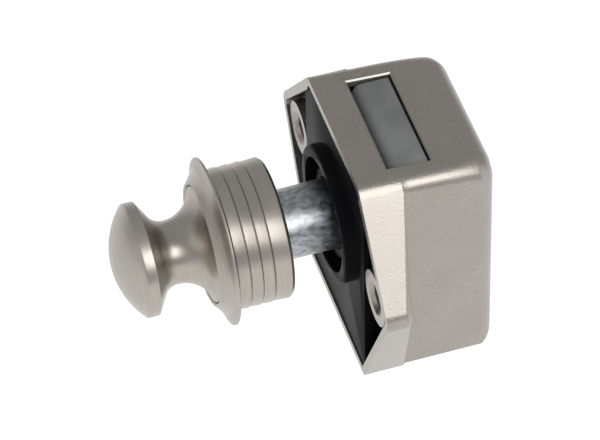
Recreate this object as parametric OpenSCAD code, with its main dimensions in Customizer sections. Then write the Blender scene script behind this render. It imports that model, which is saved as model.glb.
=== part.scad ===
// Push button cabinet lock: die cast case, sliding bolt, mushroom knob and door rosette.
// The origin is the centre of the mounting face, on the knob's axis.
// +Z is the way the bolt goes out, -Y points at the knob, and the door stands against y = 0.

/* [Case] */
// Depth of the case behind the door
case_depth = 19.4; // [19.2:0.1:24]
// Height of the case above the knob's axis
case_top = 15.9; // [15.7:0.1:20]
// Angle of the top face, which is lower at the rear
top_draft = 2.9; // [1:0.1:4.5]
// Height of the case below the knob's axis
case_bottom = 20.7; // [20.4:0.1:26]
// Width of the case body at its top face
top_w = 24.8; // [24.2:0.1:28]
// Width of the case body at its bottom face
bottom_w = 25.6; // [25:0.1:30]
// Wall of the casting
wall = 1.2; // [0.9:0.05:1.4]
// Radius of the upper edges and of the rear edges beside them
edge_r = 2.6; // [1.6:0.1:3.2]
// Radius of the lower rear edge
low_rear_r = 3.6; // [2.5:0.1:4]
// Span of the two ears, between their sharp corners
ear_span = 47.6; // [46:0.2:56]
// Height of the ear corners above the knob's axis
ear_z = 0.9; // [-1:0.1:2]
// Half width at which the lines of the ears' upper edges reach the top
ear_crown = 10.6; // [10:0.01:10.65]
// Radius of the ear tips
ear_tip_r = 2.5; // [1:0.1:3.5]
// Radius of the lower corners of the case
low_corner_r = 0.8; // [0.3:0.1:1.5]
// Thickness of an ear where it leaves the case body
ear_root_t = 5.9; // [5.5:0.1:8]
// Thickness of an ear at its tip
ear_tip_t = 3.4; // [3:0.1:5]

/* [Screws] */
// Distance between the two screw holes
screw_pitch = 34; // [33:0.2:38]
// Diameter of a screw hole
screw_d = 4; // [3:0.1:4.4]
// Diameter of the boss round a screw hole
boss_d = 8.1; // [7:0.1:8.2]
// How far the bosses stand back from the door
boss_set = 0.3; // [0.1:0.05:0.6]

/* [Bolt] */
// Width of the bolt's head
bolt_w = 17; // [15:0.1:17.4]
// Thickness of the bolt's head
bolt_t = 5.8; // [5:0.1:6.2]
// Distance from the door to the near side of the bolt's head
bolt_set = 5.1; // [4.8:0.1:5.4]
// How far the bolt goes out
bolt_throw = 7; // [5:0.1:7]
// How far the drawn back bolt lies under the top face
bolt_sink = 0.7; // [0.2:0.1:1.2]
// Rounding of the bolt's nose
nose_r = 2; // [0.5:0.1:2.4]
// Gap round the bolt in its window
window_gap = 0.2; // [0.1:0.05:0.4]
// Clearance between sliding pieces
slide_gap = 0.15; // [0.1:0.01:0.2]

/* [Knob] */
// Travel of the knob
knob_travel = 9; // [7:0.1:9]
// Distance from the door's rear face to the rim of the knob's skirt
skirt_out = 19; // [17:0.1:22]
// Radius of the knob's head
head_r = 8.06; // [7.5:0.01:8.65]
// Radius of the knob's skirt
skirt_r = 8.24; // [8:0.01:8.25]
// Radius of the knob's waist
waist_r = 4.5; // [3.6:0.1:5.4]
// Distance from the skirt's rim to the waist
waist_out = 4.6; // [4:0.1:6]
// Distance from the skirt's rim to the rear edge of the head
head_out = 8.2; // [8:0.01:11]
// Width of the straight band round the head
band_w = 1.5; // [1:0.01:3]
// Height of the dome on the head
dome_h = 3.25; // [2.5:0.1:5]
// Length of the skirt inside the sleeve
skirt_len = 3.4; // [2.5:0.1:4]
// Diameter of the shaft
shaft_d = 9.95; // [9.6:0.05:10.05]

/* [Collar] */
// Outer diameter of the collar on the insert
collar_d = 19.86; // [19:0.02:20]
// Inner diameter of the collar
collar_bore = 16.56; // [16.52:0.02:17.2]
// How far the collar stands out of the insert towards the door
collar_out = 1.7; // [1:0.1:3]
// How far the insert's face stands back from the door
insert_set = 0.15; // [0.05:0.05:0.3]
// Width of the insert's plate
insert_w = 25.6; // [24.6:0.1:26.4]
// Thickness of the insert's plate
insert_t = 1.8; // [1.4:0.1:2]

/* [Rosette] */
// Door thickness that the rosette is drawn at
door_t = 17; // [16.6:0.1:20]
// How far the rosette stands out round the sleeve
rosette_rim = 1.9; // [1.4:0.05:3]
// Height of the rosette above the door
rosette_h = 2.2; // [2:0.1:2.6]
// Outer diameter of the sleeve
sleeve_d = 20; // [19.9:0.02:20.4]
// Length of the sleeve behind the rosette
sleeve_len = 8.28; // [7.8:0.02:10]
// Distance between the grooves round the sleeve
groove_pitch = 1.7; // [1.4:0.05:1.9]
// Depth of the steps between the bands of the sleeve
band_step = 0.25; // [0.1:0.05:0.3]

/* [Hidden] */
$fn = 96;
far = 80;                       // longer than any cut through the lock
eps = 0.01;
fit = 0.02;                     // gap between pieces that are pressed or screwed together

// Case
crown_r = 1.6;                  // radius of the insert's upper corners, before its inset
ear_sink = 1.5;
body_mid_w = (top_w + bottom_w) / 4;
body_mid_z = (case_top - case_bottom) / 2;
side_lean = atan((bottom_w - top_w) / 2 / (case_top + case_bottom));
ear_x = ear_span / 2;
ear_root_x = body_mid_w;
case_outline = [[-ear_x, ear_z], [-ear_crown, case_top], [ear_crown, case_top],
    [ear_x, ear_z], [bottom_w / 2, -case_bottom], [-bottom_w / 2, -case_bottom]];
body_outline = [[-top_w / 2, case_top], [top_w / 2, case_top],
    [bottom_w / 2, -case_bottom], [-bottom_w / 2, -case_bottom]];
case_radii = [ear_tip_r, crown_r, crown_r, ear_tip_r, low_corner_r, low_corner_r];
// the ears start inside the body's rounded upper edges, a little way down their own upper edges
crown = case_outline[2];
ear_start = crown + ear_sink * unit(case_outline[3] - crown);
ear_outline = [case_outline[0], [-ear_start[0], ear_start[1]], ear_start,
    case_outline[3], case_outline[4], case_outline[5]];
ear_radii = [ear_tip_r, 0, 0, ear_tip_r, low_corner_r, low_corner_r];
back_y = case_depth - wall;     // inner face of the back wall
top_fall = tan(top_draft);      // how much the top face falls for each mm to the rear
inner_top = case_top - wall;
inner_bottom = case_bottom - wall;
countersink = 0.6;

// Insert and bush
plate_back = insert_set + insert_t;
hub_back = 3.9;                 // rear end of the insert's hub and of the bush
hub_r = collar_bore / 2 + 0.92;
well_back = hub_back - 2.4;     // floor of the collar's well
shaft_r = shaft_d / 2;
run_gap = 0.045;                // running clearance of a shaft in its bore
bush_r = shaft_r + 1.65;
bush_front = -0.6;
clip_w = 6;                     // width of a snap lug
clip_reach = 0.5;
lug_y = [plate_back + 0.25, hub_back - 0.5];
lug_fall = top_fall * lug_y[1];
lug_gap = 0.1;
insert_gap = 0.12;              // gap between the insert and the case round it

// Shaft and what rides on it
shaft_rear = back_y - knob_travel - 0.3;
shaft_front = -skirt_out + 1.6;
stud_r = 2;
stud_in = 5.5;                  // depth of the stud in the shaft
bore_r = 2.6;
bore_front = shaft_front + stud_in + 2.9;
ring_front = hub_back + 0.2;    // the stop ring lies just behind the bush
ring_t = 0.6;
ring_r = shaft_r + 1.33;
ring_seat_r = shaft_r - 0.5;
ring_gap = 5.2;                 // opening of the split ring
pin_r = 1.25;
pin_y = shaft_rear - 2.4;
pin_reach = top_w / 2 - wall - 0.6;

// Bolt
bolt_top = case_top - top_fall * (bolt_set + bolt_t / 2) - bolt_sink;
frame_gap = 0.25;
fork_x = ring_r + 0.2;          // half the slot between the bolt's legs
inner_x = top_w / 2 - wall;     // half the space between the side walls, at the top face
leg_x = inner_x - 0.35;
leg_front = hub_back + frame_gap;
leg_back = min(back_y - 0.7, pin_y + knob_travel + pin_r + 0.75);
leg_top = inner_top - bolt_throw - 0.2;
leg_bottom = -(inner_bottom - 0.5);
slot_top = ring_r + 0.3;
slot_bottom = -(ring_r + bolt_throw + 0.3);
head_back = bolt_set + bolt_t;
slot_gap = 0.08;
rib_t = 1.2;

// Catch
wire_r = 0.55;
wire_y = head_back + 2.8;
pivot_z = -(inner_bottom - 1.5);
pivot_boss_r = 1.5;
catch_swing = 20;               // the wire stands this far to either side of the middle
tip_clear = 0.35;
wire_len = (slot_bottom + wire_r + tip_clear - pivot_z) / cos(catch_swing);
island_t = 1.6;
island_w = 2 * (wire_len * sin(catch_swing) - wire_r - slide_gap);
island_top = slot_bottom - 0.5;
island_bottom = leg_bottom + 0.3;
lane_x = wire_len * sin(catch_swing) + wire_r + 0.4;
leaf_t = 0.3;
leaf_w = 3;
leaf_reach = [9.5, 6.3, 2.1];   // top, bend and tip of the leaf, above the wire's pivot
leaf_z = [for (reach = leaf_reach) pivot_z + reach];
rivet_z = (leaf_z[0] + leaf_z[1]) / 2;
rivet_r = 0.6;

// Springs
guide_r = 1.6;
guide_len = 5.5;
guide_flange = 0.6;
coil_wire_r = 0.3;
coil_r = bore_r - coil_wire_r - 0.1;
coil_turns = 13;

// Knob
skirt_y = -skirt_out;
waist_y = skirt_y - waist_out;
band_y = skirt_y - head_out;
head_y = band_y - band_w;
flare_reach = skirt_r - waist_r;
flare_r = (pow(flare_reach, 2) + pow(waist_out, 2)) / (2 * flare_reach);
flare_end = asin(waist_out / flare_r);
neck_r = 2.6;                   // radius of the waist towards the head
neck_end = 52;
dome_r = (pow(head_r, 2) + pow(dome_h, 2)) / (2 * dome_h);
dome_end = asin(head_r / dome_r);

// Rosette, sleeve and liner
door_front = -door_t;
sleeve_r = sleeve_d / 2;
rosette_d = sleeve_d + 2 * rosette_rim;
lip_r = max(head_r, skirt_r) + 0.15;
spigot_r = sleeve_r - 0.52;
liner_r = skirt_r + 0.08;
sleeve_bore = liner_r + 0.6;
lip_t = 0.8;
undercut = 0.3;
sleeve_end = door_front + sleeve_len;
rosette_slack = 2;              // how far the rosette can stand out from this door
liner_front = band_y + knob_travel + rosette_slack + 0.35;
rosette_edge = 0.22;

function unit(v) = v / norm(v);
function half_angle(a, p, b) = acos(unit(a - p) * unit(b - p)) / 2;
function next(i, n) = (i + 1) % n;
function back(i, n) = (i + n - 1) % n;
// Centre of a circle of radius r that touches both edges at corner p
function corner_centre(a, p, b, r) = p + unit(unit(a - p) + unit(b - p)) * r / sin(half_angle(a, p, b));
function corner_cut(a, p, b, r) = r == 0 ? [p] :
    let (t = r / tan(half_angle(a, p, b))) [p + unit(a - p) * t, p + unit(b - p) * t];
function inset(points, d) = let (n = len(points))
    [for (i = [0:n - 1]) corner_centre(points[back(i, n)], points[i], points[next(i, n)], d)];
function arc(centre, r, from, to, steps) =
    [for (i = [0:steps]) let (a = from + (to - from) * i / steps) centre + r * [cos(a), sin(a)]];

// Corner points of an outline, with each corner cut off where its rounding starts
function cut_corners(points, radii) = let (n = len(points))
    [for (i = [0:n - 1]) each corner_cut(points[back(i, n)], points[i], points[next(i, n)], radii[i])];
function rounding_centres(points, radii) = let (n = len(points))
    [for (i = [0:n - 1]) corner_centre(points[back(i, n)], points[i], points[next(i, n)], radii[i])];

// Ways to draw out an outline: along Y with X and Z, along X with Y and Z, or along Z with X and Y
module along_y(y0, y1) {
    translate([0, y1, 0]) rotate([90, 0, 0]) linear_extrude(height = y1 - y0) children();
}

module along_x(x0, x1) {
    translate([x0, 0, 0]) rotate([90, 0, 90]) linear_extrude(height = x1 - x0) children();
}

module along_z(z0, z1) {
    translate([0, 0, z0]) linear_extrude(height = z1 - z0) children();
}

module along(axis, from, to) {
    if (axis == "x") along_x(from, to) children();
    if (axis == "y") along_y(from, to) children();
    if (axis == "z") along_z(from, to) children();
}

// Convex outline with round corners, drawn out along an axis
module rounded(axis, from, to, points, radii) {
    centres = rounding_centres(points, radii);
    union() {
        along(axis, from, to) polygon(cut_corners(points, radii));
        for (i = [0:len(points) - 1]) if (radii[i] > 0)
            along(axis, from, to) translate(centres[i]) circle(r = radii[i]);
    }
}

// A profile of radius and place along Y, turned about the knob's axis
module turned() {
    rotate([-90, 0, 0]) rotate_extrude() children();
}

module rod_y(r, y0, y1) {
    translate([0, y0, 0]) rotate([-90, 0, 0]) cylinder(r = r, h = y1 - y0);
}

module rod_x(r, x0, x1) {
    translate([x0, 0, 0]) rotate([0, 90, 0]) cylinder(r = r, h = x1 - x0);
}

module block(low, high) {
    translate(low) cube(high - low);
}

module both_sides() {
    children();
    mirror([1, 0, 0]) children();
}

// One leaning side of the case with its rounded rear edge, as a half space cut
module side_cut(d) {
    r = edge_r - d;
    deep = case_depth - d;
    translate([body_mid_w - d / cos(side_lean), 0, body_mid_z]) rotate([0, -side_lean, 0])
        rounded("z", -far, far, [[-far, -far], [0, -far], [0, deep], [-far, deep]], [0, 0, r, 0]);
}

// The case body, or with d above 0 the space inside its walls
module case_body(d) {
    front = d > 0 ? -1 : 0;
    r = edge_r - d;
    deep = case_depth - d;
    low = -case_bottom + d;
    high = case_top - d / cos(top_draft);
    low_r = max(low_corner_r - d, 0.3);
    side = top_w / 2 - d + 0.1;
    slant = side + far * tan(side_lean);
    intersection() {
        rounded("y", front, deep, inset(body_outline, d), [0, 0, low_r, low_r]);
        rounded("x", -far, far, [[-far, low], [-far, high + far * top_fall],
            [deep, high - deep * top_fall], [deep, low]], [0, 0, r, low_rear_r - d]);
        // the long upper edges are round and fall with the top face
        translate([0, 0, high]) rotate([-top_draft, 0, 0])
            rounded("y", -far, far, [[-side, 0], [side, 0], [slant, -far], [-slant, -far]], [r, r, 0, 0]);
        both_sides_cut(d);
    }
}

module both_sides_cut(d) {
    intersection() {
        side_cut(d);
        mirror([1, 0, 0]) side_cut(d);
    }
}

// The two ears, or with d above 0 the pockets inside them
module ears(d) {
    front = d > 0 ? -1 : 0;
    intersection() {
        rounded("y", front, ear_root_t, inset(ear_outline, d), [for (q = ear_radii) max(q - d, 0.3)]);
        along_z(-far, far)
            polygon([[-ear_x, front], [ear_x, front], [ear_x, ear_tip_t - d], [ear_root_x, ear_root_t - d],
                [-ear_root_x, ear_root_t - d], [-ear_x, ear_tip_t - d]]);
    }
}

module screw_bosses() {
    intersection() {
        ears(0);
        both_sides() translate([screw_pitch / 2, 0, 0]) rod_y(boss_d / 2, boss_set, ear_root_t);
    }
}

module screw_holes() {
    both_sides() translate([screw_pitch / 2, 0, 0]) {
        rod_y(screw_d / 2, -1, ear_root_t + 1);
        translate([0, boss_set - eps, 0]) rotate([-90, 0, 0])
            cylinder(r1 = screw_d / 2 + countersink, r2 = screw_d / 2, h = countersink);
    }
}

// The bolt's window, with a narrow bevel round its edge
module window_cut() {
    bevel = 0.2;
    rise = 1;
    x = bolt_w / 2 + window_gap;
    y0 = bolt_set - window_gap;
    y1 = head_back + window_gap;
    z0 = case_top - top_fall * y0 - bevel;
    z1 = case_top - top_fall * y1 - bevel;
    low = inner_top - top_fall * y1 - 1;
    intersection() {
        along("x", -far, far) polygon([[y0, low], [y1, low], [y1, z1],
            [y1 + rise, z1 + rise], [y0 - rise, z0 + rise], [y0, z0]]);
        translate([0, 0, case_top]) rotate([-top_draft, 0, 0]) along("y", -far, far)
            polygon([[-x, -far], [x, -far], [x, -bevel],
                [x + rise, rise - bevel], [-x - rise, rise - bevel], [-x, -bevel]]);
    }
}

// Ribs on the side walls that guide the bolt's legs
module guide_ribs() {
    intersection() {
        case_body(wall / 2);
        both_sides() for (y = [leg_front + 1.6, leg_back - 1.6 - rib_t])
            block([leg_x + slide_gap, y, leg_bottom + 1.5], [far, y + rib_t, leg_top]);
    }
}

module housing_shell() {
    color([0.62, 0.59, 0.55]) difference() {
        union() {
            difference() {
                union() {
                    case_body(0);
                    ears(0);
                }
                case_body(wall);
                ears(wall);
            }
            screw_bosses();
            guide_ribs();
            intersection() {
                case_body(wall / 2);
                translate([0, 0, pivot_z]) rod_y(pivot_boss_r, back_y - 3, case_depth);
            }
        }
        screw_holes();
        window_cut();
        // pockets for the insert's snap lugs
        snap_lug(inner_top - lug_fall - 1, inner_top + clip_reach, lug_gap);
        snap_lug(-inner_bottom - clip_reach, -inner_bottom + 1, lug_gap);
        // holes in the back wall for the catch wire, the rivet and the spring guide
        translate([0, 0, pivot_z]) rod_y(wire_r + run_gap, back_y - 4, back_y + 0.3);
        translate([0, 0, rivet_z]) rod_y(rivet_r + fit, back_y - 1, back_y + 0.8);
        rod_y(guide_r / 2 + fit, back_y - 1, back_y + 0.8);
    }
}

// A lug on the insert's tongue, or with grow above 0 the pocket for it in the case
module snap_lug(z0, z1, grow) {
    block([-clip_w / 2 - grow, lug_y[0] - grow, z0 - grow], [clip_w / 2 + grow, lug_y[1] + grow, z1 + grow]);
}

module base_insert() {
    inner = inset(case_outline, wall + insert_gap);
    tongue_t = 1.2;
    tongue_z = [inner_top - top_fall * hub_back - insert_gap - tongue_t, -inner_bottom + insert_gap];
    reach = clip_reach - lug_gap;
    color([0.06, 0.06, 0.065]) difference() {
        union() {
            intersection() {
                rounded("y", insert_set, plate_back, inner, [for (q = case_radii) max(q - wall, 0.3)]);
                block([-insert_w / 2, -far, -far],
                      [insert_w / 2, far, inner_top - top_fall * plate_back - insert_gap]);
            }
            turned() polygon([[0, insert_set + 0.5], [0, hub_back], [hub_r, hub_back], [hub_r, insert_set],
                [collar_d / 2, insert_set], [collar_d / 2, insert_set - collar_out + 0.25],
                [collar_d / 2 - 0.25, insert_set - collar_out], [collar_bore / 2, insert_set - collar_out],
                [collar_bore / 2, insert_set + 0.5]]);
            // tongues with snap lugs, at the top and the bottom
            for (z = tongue_z)
                block([-clip_w / 2, insert_set + 0.5, z], [clip_w / 2, hub_back, z + tongue_t]);
            snap_lug(inner_top - lug_fall - 1, inner_top + reach, 0);
            snap_lug(-inner_bottom - reach, -inner_bottom + 1, 0);
        }
        rod_y(collar_bore / 2, insert_set - collar_out - 1, well_back);
        rod_y(bush_r + fit, insert_set, hub_back + 1);
        both_sides() translate([screw_pitch / 2, 0, 0]) rod_y(boss_d / 2 + insert_gap, -1, hub_back + 1);
    }
}

module shaft_bush() {
    lead = 0.3;
    color([0.1, 0.1, 0.1]) turned() polygon([[shaft_r + run_gap, bush_front + lead],
        [shaft_r + run_gap + lead, bush_front], [bush_r - lead, bush_front], [bush_r, bush_front + lead],
        [bush_r, hub_back], [shaft_r + run_gap, hub_back]]);
}

// Guide pin for the knob's spring, set in the back wall
module spring_guide() {
    color([0.55, 0.56, 0.58]) turned() polygon([[0, back_y - guide_len], [guide_r - 0.4, back_y - guide_len],
        [guide_r, back_y - guide_len + 0.8], [guide_r, back_y - guide_flange],
        [coil_r + coil_wire_r, back_y - guide_flange], [coil_r + coil_wire_r, back_y],
        [guide_r / 2, back_y], [guide_r / 2, back_y + 0.7], [0, back_y + 0.7]]);
}

// Round wire wound about the knob's axis, one unbroken tube with flat closed ends
module coil(r, wire, y0, y1, turns) {
    rings = 10;
    sides = 6;
    steps = turns * rings;
    pitch = (y1 - y0 - 2 * wire) / turns;
    points = [for (i = [0:steps]) for (k = [0:sides - 1])
        let (a = 360 * i / rings, b = 360 * k / sides, q = r + wire * cos(b))
            [q * cos(a), y0 + wire + pitch * i / rings + wire * sin(b), q * sin(a)]];
    last = steps * sides;
    walls = [for (i = [0:steps - 1]) for (k = [0:sides - 1])
        let (p = i * sides + k, q = i * sides + (k + 1) % sides)
            each [[p, q, p + sides], [q, q + sides, p + sides]]];
    ends = [for (k = [1:sides - 2]) each [[0, k + 1, k], [last, last + k, last + k + 1]]];
    // least gap between one turn and the next, measured on their points
    gaps = [for (i = [0:rings - 1]) for (k = [0:sides - 1]) for (m = [0:sides - 1])
        norm(points[i * sides + k] - points[(i + rings) * sides + m])];
    echo(least_gap_between_turns = min(gaps));
    polyhedron(points, concat(walls, ends), convexity = 10);
}

module button_spring() {
    front = bore_front + 0.05;
    rear = back_y - guide_flange - 0.05;
    color([0.6, 0.61, 0.63]) coil(coil_r, coil_wire_r, front, rear, coil_turns);
}

// Leaf spring that holds the catch wire down in its track
module catch_spring() {
    tip_y = wire_y + wire_r + 0.1;
    color([0.58, 0.6, 0.62]) difference() {
        along_x(-leaf_w / 2, leaf_w / 2) polygon([[back_y, leaf_z[0]], [back_y - leaf_t, leaf_z[0]],
            [back_y - leaf_t, leaf_z[1] + 0.1], [tip_y, leaf_z[2] + 0.3], [tip_y + leaf_t, leaf_z[2]],
            [back_y, leaf_z[1] - 0.25]]);
        translate([0, 0, rivet_z]) rod_y(rivet_r + fit, back_y - 1, back_y + 1);
    }
}

module catch_rivet() {
    top = back_y - leaf_t;
    color([0.7, 0.62, 0.4]) translate([0, 0, rivet_z]) turned() polygon([[0, top - 0.45],
        [rivet_r + 0.2, top - 0.45], [2 * rivet_r, top - 0.2], [2 * rivet_r, top - fit], [rivet_r, top - fit],
        [rivet_r, back_y + 0.7], [0, back_y + 0.7]]);
}

// The mushroom knob: dome, band, waist and skirt in one turned piece
module knob() {
    neck_centre = [waist_r + neck_r, waist_y];
    flare_centre = [waist_r + flare_r, waist_y];
    color([0.66, 0.64, 0.6]) turned() polygon(concat(
        arc([0, head_y - dome_h + dome_r], dome_r, -90, -90 + dome_end, 24),
        [[head_r, band_y]],
        arc(neck_centre, neck_r, 180 + neck_end, 180, 12),
        [for (q = arc(flare_centre, flare_r, 180, 180 - flare_end, 24)) if (q[1] > waist_y + 0.1) q],
        [[skirt_r, skirt_y + skirt_len], [shaft_r + fit, skirt_y + skirt_len], [shaft_r + fit, shaft_front],
            [stud_r + fit, shaft_front], [stud_r + fit, band_y], [0, band_y]]));
}

module knob_stud() {
    tip = 0.4;
    front = band_y + 0.1;
    rear = shaft_front + stud_in - 0.1;
    color([0.5, 0.5, 0.52]) turned() polygon([[0, front], [stud_r - tip, front], [stud_r, front + tip],
        [stud_r, rear - tip], [stud_r - tip, rear], [0, rear]]);
}

module shaft() {
    tip = 0.4;
    color([0.62, 0.65, 0.68]) difference() {
        turned() polygon([[stud_r + fit, shaft_front], [shaft_r, shaft_front], [shaft_r, ring_front - fit],
            [ring_seat_r, ring_front - fit], [ring_seat_r, ring_front + ring_t + fit],
            [shaft_r, ring_front + ring_t + fit], [shaft_r, shaft_rear - tip], [shaft_r - tip, shaft_rear],
            [bore_r, shaft_rear], [bore_r, bore_front], [0, bore_front], [0, shaft_front + stud_in],
            [stud_r + fit, shaft_front + stud_in]]);
        translate([0, pin_y, 0]) rod_x(pin_r + fit, -shaft_r - 1, shaft_r + 1);
    }
}

// Split ring that stops the shaft when the knob is pulled
module stop_ring_cut() {
    block([-ring_gap / 2, 0, -far], [ring_gap / 2, far, 0]);
}

module stop_clip() {
    color([0.3, 0.3, 0.32]) difference() {
        rod_y(ring_r, ring_front, ring_front + ring_t);
        rod_y(ring_seat_r + fit, ring_front - 1, ring_front + ring_t + 1);
        stop_ring_cut();
    }
}

module drive_pins() {
    tip = 0.25;
    root = bore_r + 0.1;
    len = pin_reach - root;
    color([0.7, 0.7, 0.72]) both_sides() translate([root, pin_y, 0]) rotate([0, 90, 0])
        rotate_extrude() polygon([[0, 0], [pin_r, 0], [pin_r, len - tip], [pin_r - tip, len], [0, len]]);
}

// The slanted slot in which a drive pin runs, seen along X
module drive_slot() {
    run = [knob_travel, -bolt_throw];
    r = pin_r + slot_gap;
    along_x(-far, far) {
        translate([pin_y, 0]) circle(r = r);
        translate([pin_y, 0] + run) circle(r = r);
        translate([pin_y, 0]) rotate(atan2(run[1], run[0])) translate([0, -r]) square([norm(run), 2 * r]);
    }
}

// The island that the catch wire goes round, with the notch that it rests in
module catch_island() {
    half = island_w / 2;
    along_y(head_back - eps, head_back + island_t) polygon([[0, island_top], [half, island_top - 1.2],
        [half, island_bottom + 0.3], [half - 0.35, island_bottom], [0, island_bottom + 0.8],
        [-half + 0.35, island_bottom], [-half, island_bottom + 0.3], [-half, island_top - 1.2]]);
}

module bolt_head() {
    corner_r = 1.2;
    intersection() {
        rounded("x", -bolt_w / 2, bolt_w / 2, [[bolt_set, slot_top], [bolt_set, bolt_top],
            [head_back, bolt_top], [head_back, slot_top]], [0, nose_r, 0.3, 0]);
        rounded("z", -far, far, [[-bolt_w / 2, bolt_set], [bolt_w / 2, bolt_set],
            [bolt_w / 2, head_back], [-bolt_w / 2, head_back]], [corner_r, corner_r, 0.3, 0.3]);
    }
}

module latch_bolt() {
    low_cut = sqrt(2) * (low_rear_r - wall + 0.3);
    edge_cut = sqrt(2) * (edge_r - wall + 0.2);
    leg_rear_top = leg_top - top_fall * leg_back;
    color([0.4, 0.41, 0.41]) difference() {
        union() {
            bolt_head();
            difference() {
                block([-leg_x, leg_front, leg_bottom], [leg_x, leg_back, leg_top]);
                block([-fork_x, leg_front - 1, slot_bottom], [fork_x, leg_back + 1, slot_top]);
                block([-fork_x, head_back, leg_bottom - 1], [fork_x, leg_back + 1, leg_top + 1]);
                // the legs' upper ends fall as the case's top does
                translate([-far, 0, leg_top]) rotate([-top_draft, 0, 0]) cube([2 * far, far, far]);
                // the frame is cut back where the case is round inside, at both ends of its travel
                translate([0, back_y, -inner_bottom]) rotate([45, 0, 0])
                    cube([far, low_cut, low_cut], center = true);
                translate([0, back_y, leg_rear_top]) rotate([45, 0, 0])
                    cube([far, edge_cut, edge_cut], center = true);
                both_sides() translate([inner_x, back_y, 0]) rotate([0, 0, 45])
                    cube([edge_cut, edge_cut, far], center = true);
                both_sides() translate([inner_x, 0, leg_top]) rotate([-top_draft, 0, 0]) rotate([0, 45, 0])
                    cube([edge_cut, far, edge_cut], center = true);
            }
            catch_island();
            both_sides()
                block([lane_x, head_back - eps, leg_bottom], [fork_x + eps, head_back + island_t, slot_bottom]);
        }
        drive_slot();
    }
}

// Bent wire: a pivot leg in the back wall, an arm and a tip that runs in the bolt's track
module catch_wire() {
    tip_front = head_back + 0.15;
    color([0.68, 0.69, 0.7]) translate([0, 0, pivot_z]) rotate([0, -catch_swing, 0]) {
        rod_y(wire_r, wire_y, back_y + 0.2);
        translate([0, wire_y, 0]) {
            sphere(r = wire_r);
            cylinder(r = wire_r, h = wire_len);
        }
        translate([0, wire_y, wire_len]) sphere(r = wire_r);
        translate([0, 0, wire_len]) rod_y(wire_r, tip_front, wire_y);
    }
}

// Thin ring on the door, hollow on its slope, screwed on the sleeve
module rosette() {
    rim = rosette_d / 2;
    top = door_front - rosette_h;
    sag = 0.25;
    relief = 0.15;              // the face is hollow round the sleeve, so that the rim lies on the door
    relief_r = sleeve_r + 0.06;
    slope = [for (i = [1:11]) let (t = i / 12)
        [rim - rosette_edge + (lip_r + 0.35 - rim + rosette_edge) * t,
            door_front - 2 * rosette_edge + (top - door_front + 2 * rosette_edge) * t + sag * sin(180 * t)]];
    color([0.66, 0.64, 0.6]) turned() polygon(concat(
        [[spigot_r + fit, door_front - relief], [relief_r, door_front - relief], [relief_r, door_front]],
        arc([rim - rosette_edge, door_front - rosette_edge], rosette_edge, 90, -90, 8),
        slope,
        [[lip_r + 0.35, top], [lip_r, top + 0.2], [lip_r, top + lip_t], [spigot_r + fit, top + lip_t]]));
}

// Sleeve that fills the hole in the door, stepped in bands like a bottle cap
module sleeve() {
    first = door_front + undercut;
    front = door_front - rosette_h + lip_t + fit;
    r = sleeve_r - band_step;
    ends = [for (i = [1:3]) sleeve_end - 2.8 - groove_pitch * (3 - i), sleeve_end - 0.3];
    starts = [first, for (i = [0:2]) ends[i]];
    bands = [for (i = [0:3]) each [[r, starts[i]], [r + band_step / 2, starts[i] + 0.15],
        [sleeve_r, ends[i] - 0.1], [sleeve_r, ends[i] - 0.05]]];
    color([0.64, 0.62, 0.58]) turned() polygon(concat(
        [[sleeve_bore, front], [spigot_r, front], [spigot_r, first]], bands,
        [[sleeve_r - 0.3, sleeve_end], [sleeve_bore, sleeve_end]]));
}

module sleeve_liner() {
    rear = sleeve_end - 0.2;
    lead = 0.25;
    outer = sleeve_bore - fit;
    color([0.08, 0.08, 0.09]) turned() polygon([[liner_r + lead, liner_front], [outer, liner_front],
        [outer, rear], [liner_r, rear], [liner_r, liner_front + lead]]);
}

housing_shell();
base_insert();
shaft_bush();
spring_guide();
button_spring();
catch_spring();
catch_rivet();
knob();
knob_stud();
shaft();
stop_clip();
drive_pins();
latch_bolt();
catch_wire();
rosette();
sleeve();
sleeve_liner();
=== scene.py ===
import math

import bpy
from mathutils import Matrix, Vector


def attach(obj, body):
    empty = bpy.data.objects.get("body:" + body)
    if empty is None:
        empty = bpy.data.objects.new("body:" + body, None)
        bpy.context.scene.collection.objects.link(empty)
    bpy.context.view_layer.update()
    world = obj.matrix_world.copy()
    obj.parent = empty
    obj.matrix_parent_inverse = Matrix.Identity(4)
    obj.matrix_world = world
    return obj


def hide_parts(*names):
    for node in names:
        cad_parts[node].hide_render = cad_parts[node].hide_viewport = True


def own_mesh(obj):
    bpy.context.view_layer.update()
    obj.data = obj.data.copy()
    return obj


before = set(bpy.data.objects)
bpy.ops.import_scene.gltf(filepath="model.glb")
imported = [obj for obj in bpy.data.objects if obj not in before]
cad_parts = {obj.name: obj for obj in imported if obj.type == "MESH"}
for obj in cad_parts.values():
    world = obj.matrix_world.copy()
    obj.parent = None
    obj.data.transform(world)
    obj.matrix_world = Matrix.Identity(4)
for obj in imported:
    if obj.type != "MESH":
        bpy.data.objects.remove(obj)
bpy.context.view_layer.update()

mm = 0.001
print("frame loaded")


# small helpers

def deselectAll():
    if bpy.context.object and bpy.context.object.mode != "OBJECT":
        bpy.ops.object.mode_set(mode="OBJECT")
    bpy.ops.object.select_all(action="DESELECT")


def makeActive(piece):
    deselectAll()
    piece.select_set(True)
    bpy.context.view_layer.objects.active = piece


def applyAll(piece):
    makeActive(piece)
    for modifier in list(piece.modifiers):
        bpy.ops.object.modifier_apply(modifier=modifier.name)


def smoothByAngle(piece, degrees):
    makeActive(piece)
    bpy.ops.object.shade_smooth_by_angle(angle=math.radians(degrees))


def finishPiece(piece, look):
    # material and body, and the node it stands for is hidden
    piece.data.materials.clear()
    piece.data.materials.append(look["material"])
    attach(piece, look["body"])
    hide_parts(look["node"])


# camera

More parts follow.
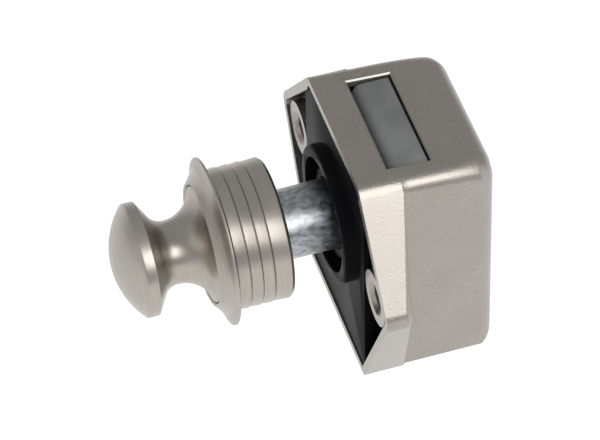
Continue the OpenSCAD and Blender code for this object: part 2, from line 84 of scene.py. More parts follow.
cameraSpec = {
    "place": (326.902 * mm, -100.605 * mm, 364.971 * mm),
    "forward": (-0.65488, 0.19167, -0.73102),
    "up": (-0.69252, 0.23508, 0.68203),
    "lens": 216.84,
    "sensor": 36,
    "near": 0.01,
    "far": 20,
}


def makeCamera(spec):
    data = bpy.data.cameras.new("viewCamera")
    data.lens = spec["lens"]
    data.sensor_width = spec["sensor"]
    data.clip_start = spec["near"]
    data.clip_end = spec["far"]
    camera = bpy.data.objects.new("viewCamera", data)
    bpy.context.scene.collection.objects.link(camera)
    back = -Vector(spec["forward"]).normalized()
    side = Vector(spec["up"]).cross(back).normalized()
    top = back.cross(side)
    turn = Matrix((side, top, back)).transposed().to_4x4()
    camera.matrix_world = Matrix.Translation(spec["place"]) @ turn
    bpy.context.scene.camera = camera


makeCamera(cameraSpec)
print("camera placed")


# shader node helpers

# most of a noise's values lie between these two
noiseLow = 0.3
noiseHigh = 0.7

# metres of noise per radian round the axis: so few that the rings stay long
arcScale = 0.0002


def newMaterial(name):
    material = bpy.data.materials.new(name)
    material.use_nodes = True
    tree = material.node_tree
    return material, tree, tree.nodes["Principled BSDF"]


def addNode(tree, kind, **values):
    node = tree.nodes.new(kind)
    for key, value in values.items():
        setattr(node, key, value)
    return node


def startGroup(name, inputs, outputs):
    group = bpy.data.node_groups.new(name, "ShaderNodeTree")
    for label, default in inputs:
        socket = group.interface.new_socket(name=label, in_out="INPUT", socket_type="NodeSocketFloat")
        socket.default_value = default
    for label in outputs:
        group.interface.new_socket(name=label, in_out="OUTPUT", socket_type="NodeSocketFloat")
    return group, group.nodes.new("NodeGroupInput"), group.nodes.new("NodeGroupOutput")


def makeGrain():
    # fine even grain over a wide slow mottle, each from 0 to 1
    group, inlet, outlet = startGroup(
        "castGrain", [("Fine Size", 0.2), ("Wide Size", 6.0)], ["Fine", "Wide"])
    place = addNode(group, "ShaderNodeTexCoord")
    for label, size, detail in (("Fine", "Fine Size", 3.0), ("Wide", "Wide Size", 2.0)):
        inverse = addNode(group, "ShaderNodeMath", operation="DIVIDE")
        inverse.inputs[0].default_value = 1 / mm
        group.links.new(inlet.outputs[size], inverse.inputs[1])
        noise = addNode(group, "ShaderNodeTexNoise")
        noise.inputs["Detail"].default_value = detail
        group.links.new(place.outputs["Object"], noise.inputs["Vector"])
        group.links.new(inverse.outputs[0], noise.inputs["Scale"])
        group.links.new(noise.outputs["Fac"], outlet.inputs[label])
    return group


def makeTurning():
    # rings left by brushing: they follow radius and place along the Y axis, and change slowly round it
    group, inlet, outlet = startGroup(
        "turnedRings", [("Ring Size", 0.12), ("Streak Size", 1.5)], ["Rings", "Streaks"])
    place = addNode(group, "ShaderNodeTexCoord")
    flat = addNode(group, "ShaderNodeVectorMath", operation="MULTIPLY")
    flat.inputs[1].default_value = (1, 0, 1)
    group.links.new(place.outputs["Object"], flat.inputs[0])
    radius = addNode(group, "ShaderNodeVectorMath", operation="LENGTH")
    group.links.new(flat.outputs[0], radius.inputs[0])
    split = addNode(group, "ShaderNodeSeparateXYZ")
    group.links.new(place.outputs["Object"], split.inputs[0])
    angle = addNode(group, "ShaderNodeMath", operation="ARCTAN2")
    group.links.new(split.outputs["X"], angle.inputs[0])
    group.links.new(split.outputs["Z"], angle.inputs[1])
    arc = addNode(group, "ShaderNodeMath", operation="MULTIPLY")
    arc.inputs[1].default_value = arcScale
    group.links.new(angle.outputs[0], arc.inputs[0])
    joined = addNode(group, "ShaderNodeCombineXYZ")
    group.links.new(radius.outputs["Value"], joined.inputs["X"])
    group.links.new(split.outputs["Y"], joined.inputs["Y"])
    group.links.new(arc.outputs[0], joined.inputs["Z"])
    for label, size in (("Rings", "Ring Size"), ("Streaks", "Streak Size")):
        inverse = addNode(group, "ShaderNodeMath", operation="DIVIDE")
        inverse.inputs[0].default_value = 1 / mm
        group.links.new(inlet.outputs[size], inverse.inputs[1])
        noise = addNode(group, "ShaderNodeTexNoise")
        noise.inputs["Detail"].default_value = 3.0
        group.links.new(joined.outputs[0], noise.inputs["Vector"])
        group.links.new(inverse.outputs[0], noise.inputs["Scale"])
        group.links.new(noise.outputs["Fac"], outlet.inputs[label])
    return group


castGrain = makeGrain()
turnedRings = makeTurning()


def useGroup(tree, group, **values):
    node = addNode(tree, "ShaderNodeGroup", node_tree=group)
    for key, value in values.items():
        node.inputs[key].default_value = value
    return node


def rampColour(tree, source, dark, light, target=None, low=noiseLow, high=noiseHigh):
    ramp = addNode(tree, "ShaderNodeValToRGB")
    ramp.color_ramp.elements[0].position = low
    ramp.color_ramp.elements[0].color = (*dark, 1)
    ramp.color_ramp.elements[1].position = high
    ramp.color_ramp.elements[1].color = (*light, 1)
    tree.links.new(source, ramp.inputs["Fac"])
    if target is not None:
        tree.links.new(ramp.outputs["Color"], target)
    return ramp


def rangeValue(tree, source, low, high, target):
    node = addNode(tree, "ShaderNodeMapRange")
    node.inputs["From Min"].default_value = noiseLow
    node.inputs["From Max"].default_value = noiseHigh
    node.inputs["To Min"].default_value = low
    node.inputs["To Max"].default_value = high
    tree.links.new(source, node.inputs["Value"])
    tree.links.new(node.outputs["Result"], target)


def addBump(tree, source, depth, shader):
    bump = addNode(tree, "ShaderNodeBump")
    bump.inputs["Strength"].default_value = 1.0
    bump.inputs["Distance"].default_value = depth * mm
    tree.links.new(source, bump.inputs["Height"])
    tree.links.new(bump.outputs["Normal"], shader.inputs["Normal"])


# materials

def castMetal(spec):
    # satin finish on a die casting: fine speckle, a slow mottle and a fine uneven surface
    material, tree, shader = newMaterial(spec["name"])
    grain = useGroup(tree, castGrain, **{"Fine Size": spec["fine"], "Wide Size": spec["wide"]})
    speckle = rampColour(tree, grain.outputs["Fine"], spec["dark"], spec["light"], low=0.25, high=0.75)
    mottle = rampColour(tree, grain.outputs["Wide"], spec["dull"], (1, 1, 1))
    mix = addNode(tree, "ShaderNodeMix", data_type="RGBA", blend_type="MULTIPLY")
    mix.inputs["Factor"].default_value = 1.0
    # sockets 6 and 7 are the mix node's colours, and output 2 is its result in colour
    tree.links.new(speckle.outputs["Color"], mix.inputs[6])
    tree.links.new(mottle.outputs["Color"], mix.inputs[7])
    tree.links.new(mix.outputs[2], shader.inputs["Base Color"])
    rangeValue(tree, grain.outputs["Fine"], *spec["rough"], shader.inputs["Roughness"])
    addBump(tree, grain.outputs["Fine"], spec["bump"], shader)
    shader.inputs["Metallic"].default_value = spec["metallic"]
    return material


def brushedMetal(spec):
    # metal brushed round its axis
    material, tree, shader = newMaterial(spec["name"])
    rings = useGroup(tree, turnedRings, **{"Ring Size": spec["ring"], "Streak Size": spec["streak"]})
    rampColour(tree, rings.outputs["Streaks"], spec["dark"], spec["light"], shader.inputs["Base Color"])
    rangeValue(tree, rings.outputs["Rings"], *spec["rough"], shader.inputs["Roughness"])
    addBump(tree, rings.outputs["Rings"], spec["bump"], shader)
    shader.inputs["Metallic"].default_value = 1.0
    shader.inputs["Anisotropic"].default_value = spec["stretch"]
    return material


def platedSteel(spec):
    # plated steel: cloudy patches, drawn out along the axis where the spec says so
    material, tree, shader = newMaterial(spec["name"])
    place = addNode(tree, "ShaderNodeTexCoord")
    stretch = addNode(tree, "ShaderNodeMapping")
    stretch.inputs["Scale"].default_value = spec["drawn"]
    tree.links.new(place.outputs["Object"], stretch.inputs["Vector"])
    noise = addNode(tree, "ShaderNodeTexNoise")
    noise.inputs["Scale"].default_value = spec["scale"]
    noise.inputs["Detail"].default_value = 5.0
    tree.links.new(stretch.outputs["Vector"], noise.inputs["Vector"])
    rampColour(tree, noise.outputs["Fac"], spec["dark"], spec["light"], shader.inputs["Base Color"],
               low=0.36, high=0.64)
    rangeValue(tree, noise.outputs["Fac"], *spec["rough"], shader.inputs["Roughness"])
    addBump(tree, noise.outputs["Fac"], spec["bump"], shader)
    shader.inputs["Metallic"].default_value = 1.0
    return material


def mouldedPlastic(spec):
    # moulded plastic: fine mould grain and faint flow marks
    material, tree, shader = newMaterial(spec["name"])
    grain = useGroup(tree, castGrain, **{"Fine Size": spec["fine"], "Wide Size": spec["wide"]})
    rampColour(tree, grain.outputs["Wide"], spec["dark"], spec["light"], shader.inputs["Base Color"])
    rangeValue(tree, grain.outputs["Fine"], *spec["rough"], shader.inputs["Roughness"])
    addBump(tree, grain.outputs["Fine"], spec["bump"], shader)
    shader.inputs["IOR"].default_value = spec["ior"]
    shader.inputs["Specular IOR Level"].default_value = spec["gloss"]
    return material


satinNickel = castMetal({
    "name": "satinNickel", "fine": 0.22, "wide": 7.0, "dark": (0.285, 0.265, 0.238),
    "light": (0.40, 0.375, 0.343), "dull": (0.94, 0.93, 0.92), "rough": (0.27, 0.37), "bump": 0.02,
    "metallic": 0.85})
brushedNickel = brushedMetal({
    "name": "brushedNickel", "ring": 0.06, "streak": 0.2, "dark": (0.37, 0.345, 0.31),
    "light": (0.41, 0.38, 0.345), "rough": (0.33, 0.4), "bump": 0.0015, "stretch": 0.5})
zincPlate = platedSteel({
    "name": "zincPlate", "drawn": (1, 0.6, 1), "scale": 1700.0, "dark": (0.25, 0.265, 0.28),
    "light": (0.50, 0.52, 0.535), "rough": (0.3, 0.42), "bump": 0.006})
springSteel = platedSteel({
    "name": "springSteel", "drawn": (1, 1, 1), "scale": 700.0, "dark": (0.4, 0.4, 0.41),
    "light": (0.62, 0.62, 0.63), "rough": (0.2, 0.32), "bump": 0.002})
darkSteel = platedSteel({
    "name": "darkSteel", "drawn": (1, 1, 1), "scale": 900.0, "dark": (0.08, 0.08, 0.085),
    "light": (0.17, 0.17, 0.18), "rough": (0.35, 0.5), "bump": 0.004})
plainBrass = platedSteel({
    "name": "plainBrass", "drawn": (1, 1, 1), "scale": 800.0, "dark": (0.5, 0.36, 0.16),
    "light": (0.72, 0.55, 0.28), "rough": (0.25, 0.38), "bump": 0.003})
blackPlastic = mouldedPlastic({
    "name": "blackPlastic", "fine": 0.15, "wide": 5.0, "dark": (0.006, 0.006, 0.007),
    "light": (0.011, 0.011, 0.012), "rough": (0.22, 0.3), "bump": 0.004, "ior": 1.15, "gloss": 0.05})
greyPlastic = mouldedPlastic({
    "name": "greyPlastic", "fine": 0.18, "wide": 4.0, "dark": (0.155, 0.16, 0.16),
    "light": (0.21, 0.215, 0.215), "rough": (0.42, 0.55), "bump": 0.006, "ior": 1.48, "gloss": 0.5})
print("materials made")


# pieces that keep the solid's shape and get soft edges, with the case's roundings finished

weldGap = 0.002 * mm
planeGap = 0.0005 * mm

# degrees between faces: under the first they are merged, over the second their edge is bevelled,
# and over the third it is shaded sharp
flatAngle = 0.3
sharpAngle = 32
smoothAngle = 28

edgeSegments = 2
rearSegments = 5
faceWeight = 80


def mergeFlats(piece, degrees):
    makeActive(piece)
    bpy.ops.object.mode_set(mode="EDIT")
    bpy.ops.mesh.select_mode(type="VERT")
    bpy.ops.mesh.select_all(action="SELECT")
    bpy.ops.mesh.remove_doubles(threshold=weldGap)
    bpy.ops.mesh.dissolve_limited(angle_limit=math.radians(degrees))
    bpy.ops.object.mode_set(mode="OBJECT")


def raiseEars(piece, spec):
    # the ears' slanted faces are lifted at the root and carried on to where the upper roundings touch them
    def place(vertex):
        return abs(vertex.co.x) / mm, vertex.co.y / mm, vertex.co.z / mm

    def onArc(vertex, high):
        # whether the point lies on the upper rounding, up to an angle
        x, y, z = place(vertex)
        across, up = x - spec["centre"][0], z - spec["centre"][1] + spec["fall"] * y
        turn = math.degrees(math.atan2(up, across))
        return abs(math.hypot(across, up) - spec["arcR"]) < spec["arcGap"] and spec["arcFrom"] < turn < high

    makeActive(piece)
    bpy.ops.object.mode_set(mode="EDIT")
    bpy.ops.mesh.select_mode(type="FACE")
    bpy.ops.mesh.select_all(action="DESELECT")
    bpy.ops.object.mode_set(mode="OBJECT")
    for cutY in (spec["cutY"], spec["endY"]):
        for face in piece.data.polygons:
            face.select = all(onArc(piece.data.vertices[i], spec["arcTo"]) for i in face.vertices)
        bpy.ops.object.mode_set(mode="EDIT")
        bpy.ops.mesh.bisect(plane_co=(0, cutY * mm, 0), plane_no=(0, 1, 0), threshold=planeGap)
        bpy.ops.object.mode_set(mode="OBJECT")
    down, run = spec["crown"][1] - spec["tip"][1], spec["tip"][0] - spec["crown"][0]
    length = math.hypot(down, run)
    slant = math.degrees(math.atan2(run, down))
    for vertex in piece.data.vertices:
        x, y, z = place(vertex)
        off = ((x - spec["crown"][0]) * down + (z - spec["crown"][1]) * run) / length
        onFace = abs(off) < spec["faceGap"] and spec["rootX"] < x < spec["endX"]
        if y < spec["cutY"] + spec["faceGap"] and (onFace or onArc(vertex, slant)):
            move = (spec["lift"] * (spec["endX"] - x) / (spec["endX"] - spec["rootX"]) - off) * mm
            vertex.co.x += math.copysign(1, vertex.co.x) * move * down / length
            vertex.co.z += move * run / length


def rearSection(y, spec):
    # top face, a quarter round that grows to the rear, and the side; drawn in near the back
    turnR = spec["rearR"] + spec["slack"]
    inset = spec["rearR"] - math.sqrt(turnR ** 2 - max(y - spec["centreY"], 0) ** 2)
    share = max((y - spec["startY"]) / (spec["backY"] - spec["startY"]), 0) ** spec["growth"]
    radius = spec["edgeR"][0] + (spec["edgeR"][1] - spec["edgeR"][0]) * share
    top = spec["top"] - spec["fall"] * min(y, spec["centreY"])
    half = spec["half"] + (spec["top"] - top + radius) * spec["lean"]
    arc = [(half - radius + (radius - inset) * math.cos(math.radians(turn)),
            top - radius + (radius - inset) * math.sin(math.radians(turn)))
           for turn in range(0, 91, spec["arcStep"])]
    foot = spec["half"] + (spec["top"] - spec["low"]) * spec["lean"] - inset
    return [(foot, spec["low"]), (arc[0][0], arc[0][1] - spec["underArc"])] + arc


def mirrorHalf(piece):
    # the casting is the same on both sides: the side at +X is kept and mirrored
    makeActive(piece)
    bpy.ops.object.mode_set(mode="EDIT")
    bpy.ops.mesh.select_all(action="SELECT")
    bpy.ops.mesh.bisect(plane_co=(0, 0, 0), plane_no=(1, 0, 0), clear_inner=True, threshold=planeGap)
    bpy.ops.object.mode_set(mode="OBJECT")
    mirror = piece.modifiers.new("mirror", "MIRROR")
    mirror.use_axis = (True, False, False)
    mirror.use_mirror_merge = True
    mirror.merge_threshold = weldGap
    applyAll(piece)


def cutToEnvelope(piece, spec):
    # a loft round the case, wide where the ears are: behind them it rounds the edges and the corners
    wide = {**spec, "half": spec["far"], "top": spec["far"]}
    halves = [(y, rearSection(y, wide)) for y in (spec["frontY"], spec["startY"])]
    rows = spec["rows"]
    places = [spec["startY"] + (spec["centreY"] - spec["startY"]) * i / rows for i in range(rows + 1)]
    places += [spec["centreY"] + (spec["rearR"] + spec["slack"]) * math.sin(math.radians(turn))
               for turn in range(spec["rearStep"], 90, spec["rearStep"])]
    halves += [(y, rearSection(y, spec)) for y in places]
    rings = [[(x, y, z) for x, z in half] + [(-x, y, z) for x, z in reversed(half)] for y, half in halves]
    count = len(rings[0])
    faces = [[ring * count + i, ring * count + (i + 1) % count, (ring + 1) * count + (i + 1) % count,
              (ring + 1) * count + i] for ring in range(len(rings) - 1) for i in range(count)]
    faces += [list(range(count))[::-1], [(len(rings) - 1) * count + i for i in range(count)]]
    mesh = bpy.data.meshes.new("envelope")
    mesh.from_pydata([Vector(point) * mm for ring in rings for point in ring], [], faces)
    envelope = bpy.data.objects.new("envelope", mesh)
    bpy.context.scene.collection.objects.link(envelope)
    makeActive(envelope)
    bpy.ops.object.mode_set(mode="EDIT")
    bpy.ops.mesh.select_all(action="SELECT")
    bpy.ops.mesh.quads_convert_to_tris()
    bpy.ops.mesh.normals_make_consistent(inside=False)
    bpy.ops.object.mode_set(mode="OBJECT")
    cut = piece.modifiers.new("cut", "BOOLEAN")
    cut.operation = "INTERSECT"
    cut.solver = "EXACT"
    cut.object = envelope
    applyAll(piece)
    bpy.data.objects.remove(envelope)
    mergeFlats(piece, spec["flat"])
    mirrorHalf(piece)


def roundedRear(piece, ears):
    # the ears' rear edges are rounder than the casting's other edges: not the roots or the screw holes
    slope = (ears["rootY"] - ears["tipY"]) / (ears["tipX"] - ears["rootX"])
    mesh = piece.data
    weights = mesh.attributes.new("bevel_weight_edge", "FLOAT", "EDGE")
    for edge in mesh.edges:
        ends = [mesh.vertices[i].co / mm for i in edge.vertices]
        onSlope = all(abs(p.x) > ears["rootX"] - ears["inside"]
                      and abs(p.y - ears["rootY"] + (abs(p.x) - ears["rootX"]) * slope) < ears["slopeGap"]
                      for p in ends)
        byHole = any(math.hypot(abs(p.x) - ears["holeX"], p.z) < ears["holeClear"] for p in ends)
        upright = all(abs(abs(p.x) - ears["rootX"]) < ears["uprightGap"] for p in ends)
        if onSlope and not byHole and not upright:
            weights.data[edge.index].value = 1.0
    bevel = piece.modifiers.new("rear", "BEVEL")
    bevel.width = ears["width"] * mm
    bevel.segments = rearSegments
    bevel.limit_method = "WEIGHT"
    bevel.use_clamp_overlap = False
    applyAll(piece)
    if "bevel_weight_edge" in mesh.attributes:
        mesh.attributes.remove(mesh.attributes["bevel_weight_edge"])


def softenedCopy(name, spec):
    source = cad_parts[spec["node"]]
    piece = bpy.data.objects.new(name, source.data.copy())
    bpy.context.scene.collection.objects.link(piece)
    mergeFlats(piece, flatAngle)
    if "envelope" in spec:
        raiseEars(piece, spec["raise"])
        cutToEnvelope(piece, spec["envelope"])
    if "ears" in spec:
        roundedRear(piece, spec["ears"])
    if spec["edge"] > 0:
        bevel = piece.modifiers.new("edge", "BEVEL")
        bevel.width = spec["edge"] * mm
        bevel.segments = edgeSegments
        bevel.limit_method = "ANGLE"
        bevel.angle_limit = math.radians(sharpAngle)
        bevel.use_clamp_overlap = True
        applyAll(piece)
    smoothByAngle(piece, smoothAngle)
    if "ears" in spec:
        # large faces keep their own normal, so that they look flat
        flatter = piece.modifiers.new("flatter", "WEIGHTED_NORMAL")
        flatter.mode = "FACE_AREA"
        flatter.weight = faceWeight
        flatter.keep_sharp = True
        applyAll(piece)
    finishPiece(piece, spec)


# the top face falls this much per mm towards the rear
topFall = 0.05066

# sizes in mm, and angles and their steps in degrees
# raise: the ears' slanted faces run from crown to tip, given as half width and height, and centre is the
# axis of the upper rounding
# envelope: edgeR is the upper edges' radius at startY and at backY, and it grows with a power
# ears: their rear faces run from the root to the tip
softened = {
    "caseBody": {"node": "housing_shell", "body": "case", "slot": "satin_nickel", "material": satinNickel,
                 "edge": 0.14,
                 "raise": {"crown": (10.6, 15.9), "tip": (23.8, 0.9), "rootX": 11.3, "endX": 22.67,
                           "cutY": 6.0, "endY": 6.3, "centre": (9.9, 13.3), "arcR": 2.6, "fall": topFall,
                           "arcFrom": -5, "arcTo": 95, "arcGap": 0.05, "faceGap": 0.01, "lift": 0.33},
                 "envelope": {"frontY": -2, "startY": 5.95, "centreY": 16.8, "backY": 19.4, "rearR": 2.6,
                              "edgeR": (2.6, 4.6), "growth": 4, "slack": 0.03, "top": 15.9, "fall": topFall,
                              "half": 12.4, "lean": 0.01093, "low": -26, "far": 30, "underArc": 0.5,
                              "arcStep": 6, "rows": 10, "rearStep": 12, "flat": 0.02},
                 "ears": {"rootX": 12.6, "rootY": 5.9, "tipX": 23.8, "tipY": 3.4, "holeX": 17.0,
                          "holeClear": 2.7, "inside": 0.3, "slopeGap": 0.12, "uprightGap": 0.45,
                          "width": 0.8}},
    "insertPlate": {"node": "base_insert", "body": "case", "slot": "black_plastic", "material": blackPlastic,
                    "edge": 0.1},
    "shaftBush": {"node": "shaft_bush", "body": "case", "slot": "black_plastic", "material": blackPlastic,
                  "edge": 0.08},
    "slidingBolt": {"node": "latch_bolt", "body": "bolt", "slot": "grey_plastic", "material": greyPlastic,
                    "edge": 0.12},
    "guidePin": {"node": "spring_guide", "body": "case", "slot": "zinc_plate", "material": zincPlate,
                 "edge": 0.06},
    "leafSpring": {"node": "catch_spring", "body": "case", "slot": "spring_steel", "material": springSteel,
                   "edge": 0.04},
    "leafRivet": {"node": "catch_rivet", "body": "case", "slot": "brass_plain", "material": plainBrass,
                  "edge": 0.05},
    "stopRing": {"node": "stop_clip", "body": "knob", "slot": "dark_steel", "material": darkSteel,
                 "edge": 0.08},
    "drivePins": {"node": "drive_pins", "body": "knob", "slot": "spring_steel", "material": springSteel,
                  "edge": 0.06},
    "knobStud": {"node": "knob_stud", "body": "knob", "slot": "zinc_plate", "material": zincPlate,
                 "edge": 0.05},
    "catchWire": {"node": "catch_wire", "body": "catch", "slot": "spring_steel", "material": springSteel,
                  "edge": 0.0},
    "sleeveLiner": {"node": "sleeve_liner", "body": "escutcheon", "slot": "black_plastic",
                    "material": blackPlastic, "edge": 0.06},
    "mainShaft": {"node": "shaft", "body": "knob", "slot": "zinc_plate", "material": zincPlate,
                  "edge": 0.08},
}

for name, spec in softened.items():
    softenedCopy(name, spec)
print("softened pieces made")


# pieces turned on a lathe: profiles of radius and place along Y, in mm

seamGap = 0.001 * mm


def arcPoints(centre, radius, start, end, steps):
    return [(centre[0] + radius * math.cos(math.radians(start + (end - start) * i / steps)),
             centre[1] + radius * math.sin(math.radians(start + (end - start) * i / steps)))
            for i in range(steps + 1)]


# a corner is rounded in this many steps, and takes at most this share of the lines beside it
cornerSteps = 4
cornerShare = 0.45


def roundCorners(points, radii):
    # rounds the corners of a profile that radii names
    result = []
    for i, point in enumerate(points):
        radius = radii.get(i, 0)
        if radius == 0 or i in (0, len(points) - 1):
            result.append(point)
            continue
        here = Vector(point)
        before = Vector(points[i - 1]) - here
        after = Vector(points[i + 1]) - here
        reach = min(radius, before.length * cornerShare, after.length * cornerShare)
        first = here + before.normalized() * reach
        last = here + after.normalized() * reach
        for k in range(cornerSteps + 1):
            t = k / cornerSteps
            bend = first * (1 - t) ** 2 + here * 2 * t * (1 - t) + last * t ** 2
            result.append((bend.x, bend.y))
    return result


def turnPiece(name, profile, spec):
    # one vertex is drawn out along the profile, then spun about the Y axis
    deselectAll()
    start = (profile[0][0] * mm, profile[0][1] * mm, 0)
    bpy.ops.mesh.primitive_plane_add(size=mm, location=(0, 0, 0))
    piece = bpy.context.object
    piece.name = name
    piece.data.name = name
    bpy.ops.object.mode_set(mode="EDIT")
    bpy.ops.mesh.select_mode(type="VERT")
    bpy.ops.mesh.select_all(action="SELECT")
    bpy.ops.mesh.merge(type="CENTER")
    bpy.ops.transform.translate(value=start)
    for before, after in zip(profile, profile[1:]):
        step = ((after[0] - before[0]) * mm, (after[1] - before[1]) * mm, 0)
        bpy.ops.mesh.extrude_region_move(TRANSFORM_OT_translate={"value": step})
    bpy.ops.mesh.select_all(action="SELECT")
    bpy.ops.mesh.spin(steps=spec["steps"], angle=math.tau, center=(0, 0, 0), axis=(0, 1, 0))
    bpy.ops.mesh.select_all(action="SELECT")
    bpy.ops.mesh.remove_doubles(threshold=seamGap)
    bpy.ops.mesh.normals_make_consistent(inside=False)
    bpy.ops.object.mode_set(mode="OBJECT")
    smoothByAngle(piece, spec["smooth"])
    finishPiece(piece, spec)


knobSpec = {
    "node": "knob", "body": "knob", "slot": "brushed_nickel", "material": brushedNickel,
    "steps": 160, "smooth": 32, "domeSteps": 36, "neckSteps": 18, "flareSteps": 28,
    "headR": 8.06, "bandY": -27.2, "headY": -28.7, "domeH": 3.25, "waistR": 4.5, "waistY": -23.6,
    "neckR": 2.6, "neckEnd": 52, "skirtR": 8.24, "skirtY": -19.0, "skirtEnd": -15.6, "boreR": 4.995,
    "shaftFront": -17.4, "studR": 2.02, "edge": 0.12, "skirtEdge": 0.096, "mouthEdge": 0.072,
}


def knobProfile(s):
    # dome, band, neck and skirt from the front, then the bore for the shaft and the stud's hole
    domeR = (s["headR"] ** 2 + s["domeH"] ** 2) / (2 * s["domeH"])
    domeEnd = math.degrees(math.asin(s["headR"] / domeR))
    dome = arcPoints((0, s["headY"] - s["domeH"] + domeR), domeR, -90, -90 + domeEnd, s["domeSteps"])
    neck = arcPoints((s["waistR"] + s["neckR"], s["waistY"]), s["neckR"], 180 + s["neckEnd"], 180,
                     s["neckSteps"])
    reach = s["skirtR"] - s["waistR"]
    rise = s["skirtY"] - s["waistY"]
    flareR = (reach ** 2 + rise ** 2) / (2 * reach)
    flareEnd = math.degrees(math.asin(rise / flareR))
    flare = arcPoints((s["waistR"] + flareR, s["waistY"]), flareR, 180, 180 - flareEnd,
                      s["flareSteps"])[1:]
    rim = len(dome) - 1
    points = dome + [(s["headR"], s["bandY"])] + neck + flare
    skirtCorner = len(points) - 1
    points += [(s["skirtR"], s["skirtEnd"]), (s["boreR"], s["skirtEnd"]), (s["boreR"], s["shaftFront"]),
               (s["studR"], s["shaftFront"]), (s["studR"], s["bandY"]), (0, s["bandY"])]
    return roundCorners(points, {rim: s["edge"], rim + 1: s["edge"], skirtCorner: s["skirtEdge"],
                                 skirtCorner + 1: s["mouthEdge"]})


turnPiece("mushroomKnob", knobProfile(knobSpec), knobSpec)

rosetteSpec = {
    "node": "rosette", "body": "escutcheon", "slot": "brushed_nickel", "material": brushedNickel,
    "steps": 160, "smooth": 30, "rimSteps": 12, "slopeSteps": 24, "rimR": 11.9, "doorY": -17.0,
    "height": 2.2, "edgeR": 0.22, "lipR": 8.39, "lipT": 0.8, "lipW": 0.35, "lipH": 0.2, "lipEdge": 0.1,
    "spigotR": 9.5, "sag": 0.25, "relief": 0.15, "reliefR": 10.06,
}


def rosetteProfile(s):
    # rear face and rim, the slightly swollen slope, then the lip and the inside
    top = s["doorY"] - s["height"]
    rim = arcPoints((s["rimR"] - s["edgeR"], s["doorY"] - s["edgeR"]), s["edgeR"], 90, -90, s["rimSteps"])
    slope = []
    for i in range(1, s["slopeSteps"]):
        t = i / s["slopeSteps"]
        slope.append((s["rimR"] - s["edgeR"] + (s["lipR"] + s["lipW"] - s["rimR"] + s["edgeR"]) * t,
                      s["doorY"] - 2 * s["edgeR"] + (top - s["doorY"] + 2 * s["edgeR"]) * t
                      + s["sag"] * math.sin(math.pi * t)))
    hollow = s["doorY"] - s["relief"]
    points = [(s["spigotR"], hollow), (s["reliefR"], hollow), (s["reliefR"], s["doorY"])] + rim + slope
    crown = len(points)
    points += [(s["lipR"] + s["lipW"], top), (s["lipR"], top + s["lipH"]), (s["lipR"], top + s["lipT"]),
               (s["spigotR"], top + s["lipT"]), (s["spigotR"], hollow)]
    return roundCorners(points, {crown: s["lipEdge"], crown + 1: s["lipEdge"]})


turnPiece("coverRosette", rosetteProfile(rosetteSpec), rosetteSpec)

sleeveSpec = {
    "node": "sleeve", "body": "escutcheon", "slot": "brushed_nickel", "material": brushedNickel,
    "steps": 160, "smooth": 30, "outerR": 10.0, "boreR": 8.92, "spigotR": 9.48, "frontY": -18.38,
    "firstY": -16.7, "endY": -8.72, "pitch": 1.7, "step": 0.25, "bands": 4, "lastBand": 2.8, "chamfer": 0.3,
    "foot": 0.15, "crest": ((0.02, 0.22), (0.0, 0.12), (0.03, 0.05)),
}


def sleeveProfile(s):
    # cones that widen to the rear in steps; crest lists the points at a cone's end, as drops in radius
    # and distances before that end
    last = s["bands"] - 1
    ends = [s["endY"] - s["lastBand"] - s["pitch"] * (last - i) for i in range(1, s["bands"])]
    ends.append(s["endY"] - s["chamfer"])
    starts = [s["firstY"]] + ends[:last]
    low = s["outerR"] - s["step"]
    points = [(s["boreR"], s["frontY"]), (s["spigotR"], s["frontY"]), (s["spigotR"], s["firstY"])]
    for start, end in zip(starts, ends):
        points += [(low, start), (low + s["step"] / 2, start + s["foot"])]
        points += [(s["outerR"] - drop, end - before) for drop, before in s["crest"]]
    points += [(s["outerR"] - s["chamfer"], s["endY"]), (s["boreR"], s["endY"]), (s["boreR"], s["frontY"])]
    return points


turnPiece("doorSleeve", sleeveProfile(sleeveSpec), sleeveSpec)
print("turned pieces made")


# the knob's spring, wound smooth

springSpec = {
    "node": "button_spring", "body": "case", "slot": "spring_steel", "material": springSteel,
    "radius": 2.2, "wire": 0.3, "front": -8.95, "rear": 17.55, "turns": 13, "rings": 48, "sides": 12,
    "smooth": 40, "keep": 0.66,
}


def windSpring(s):
    curve = bpy.data.curves.new("knobSpring", "CURVE")
    curve.dimensions = "3D"
    curve.bevel_depth = s["wire"] * mm
    curve.bevel_resolution = s["sides"] // 4
    curve.use_fill_caps = True
    line = curve.splines.new("POLY")
    steps = s["turns"] * s["rings"]
    rise = (s["rear"] - s["front"] - 2 * s["wire"]) / steps
    line.points.add(steps)
    for i in range(steps + 1):
        angle = math.tau * i / s["rings"]
        line.points[i].co = (s["radius"] * math.cos(angle) * mm, (s["front"] + s["wire"] + rise * i) * mm,
                             s["radius"] * math.sin(angle) * mm, 1)
    piece = bpy.data.objects.new("knobSpring", curve)
    bpy.context.scene.collection.objects.link(piece)
    makeActive(piece)
    bpy.ops.object.convert(target="MESH")
    piece = bpy.context.object
    smoothByAngle(piece, s["smooth"])
    finishPiece(piece, s)
    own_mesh(piece)


windSpring(springSpec)
print("spring wound")


# floor, world and lamps, in metres and watts

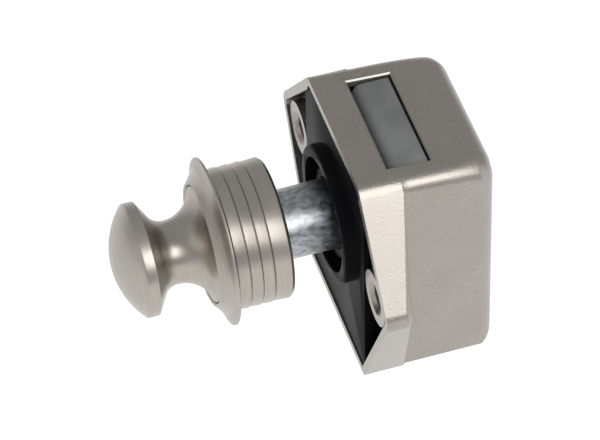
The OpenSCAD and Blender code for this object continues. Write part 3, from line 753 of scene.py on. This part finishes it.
studio = {
    "floorDrop": 0.09, "floorHalf": 3.0, "floorColour": (0.8, 0.8, 0.8), "floorGlow": 0.53, "worldGlow": 0.5,
    "lamps": [
        {"name": "frontSoftbox", "place": (0.6, 0.2, 0.6), "size": 0.5, "power": 3.3},
        {"name": "rearSoftbox", "place": (0.42, 0.8, 0.2), "size": 0.5, "power": 0.6},
        {"name": "knobSoftbox", "place": (0.15, -0.85, 0.35), "size": 0.6, "power": 0.7},
    ],
}


def makeFloor(s):
    deselectAll()
    bpy.ops.mesh.primitive_plane_add(size=2 * s["floorHalf"], location=(0, 0, -s["floorDrop"]))
    floor = bpy.context.object
    floor.name = "paleFloor"
    material, _, shader = newMaterial("paleFloor")
    shader.inputs["Base Color"].default_value = (*s["floorColour"], 1)
    shader.inputs["Roughness"].default_value = 0.9
    shader.inputs["Emission Color"].default_value = (1, 1, 1, 1)
    shader.inputs["Emission Strength"].default_value = s["floorGlow"]
    floor.data.materials.append(material)


def makeWorld(s):
    world = bpy.data.worlds.new("studioWorld")
    bpy.context.scene.world = world
    world.use_nodes = True
    tree = world.node_tree
    background = tree.nodes["Background"]
    background.inputs["Color"].default_value = (1, 1, 1, 1)
    path = addNode(tree, "ShaderNodeLightPath")
    glow = addNode(tree, "ShaderNodeMapRange")
    glow.inputs["To Min"].default_value = s["worldGlow"]
    glow.inputs["To Max"].default_value = 1.0
    tree.links.new(path.outputs["Is Camera Ray"], glow.inputs["Value"])
    tree.links.new(glow.outputs["Result"], background.inputs["Strength"])


def makeLamp(spec):
    data = bpy.data.lights.new(spec["name"], "AREA")
    data.shape = "SQUARE"
    data.size = spec["size"]
    data.energy = spec["power"]
    lamp = bpy.data.objects.new(spec["name"], data)
    bpy.context.scene.collection.objects.link(lamp)
    lamp.location = spec["place"]
    lamp.rotation_mode = "QUATERNION"
    lamp.rotation_quaternion = Vector(spec["place"]).to_track_quat("Z", "Y")


makeFloor(studio)
makeWorld(studio)
for lampSpec in studio["lamps"]:
    makeLamp(lampSpec)
bpy.context.scene.view_settings.view_transform = "Standard"
print("studio lit")
